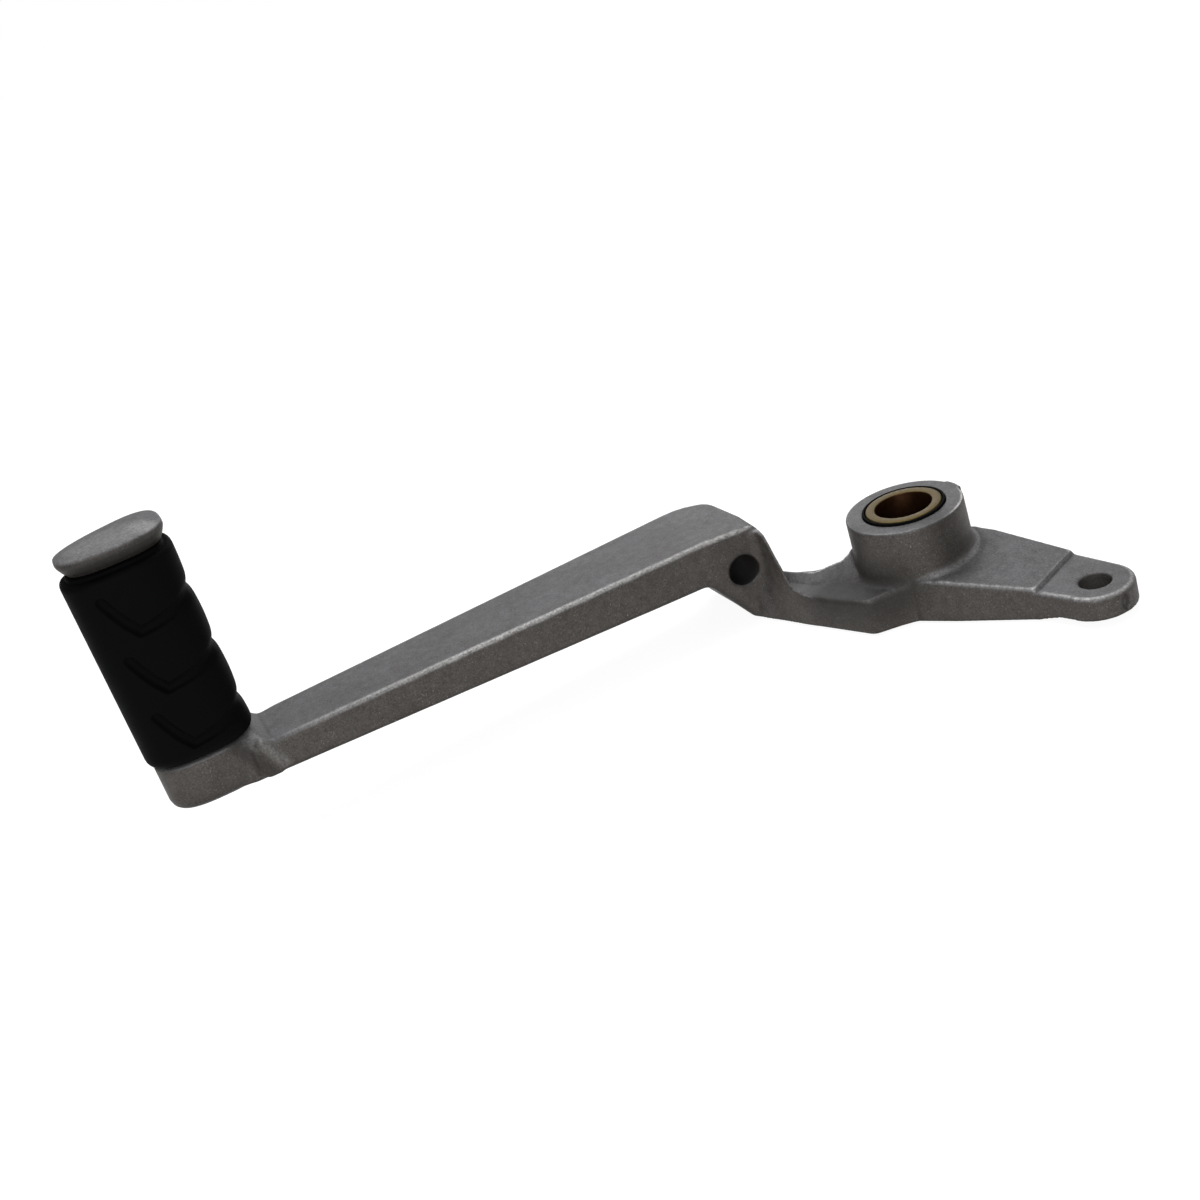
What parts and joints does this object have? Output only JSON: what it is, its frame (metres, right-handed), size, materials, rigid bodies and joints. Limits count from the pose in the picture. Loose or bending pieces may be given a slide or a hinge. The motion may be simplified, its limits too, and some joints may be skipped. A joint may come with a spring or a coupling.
{
  "type": "motorcycle rear brake pedal",
  "caption": "Cast rear brake pedal: bushed pivot boss, cranked arm, rubber-covered foot peg and clevis lug for the master cylinder's rod.",
  "frame": {"origin": "on the pivot axis, at the boss's inner face", "axes": "+Z along the pivot axis towards the side the foot peg stands on, -X along the arm towards the peg, -Y the way the peg's tread looks"},
  "size_m": [0.2327, 0.1128, 0.0923],
  "materials": {
    "cast_aluminium": "as-cast grey with worn edges",
    "black_rubber": "matt",
    "bronze_bush": "dull bronze",
    "seal_black_outer": "matt",
    "seal_black_inner": "matt"
  },
  "bodies": {
    "root": {"lever_casting": "cast_aluminium", "peg_rubber": "black_rubber", "pivot_bush": "bronze_bush", "seal_ring_outer": "seal_black_outer", "seal_ring_inner": "seal_black_inner"}
  },
  "joints": []
}
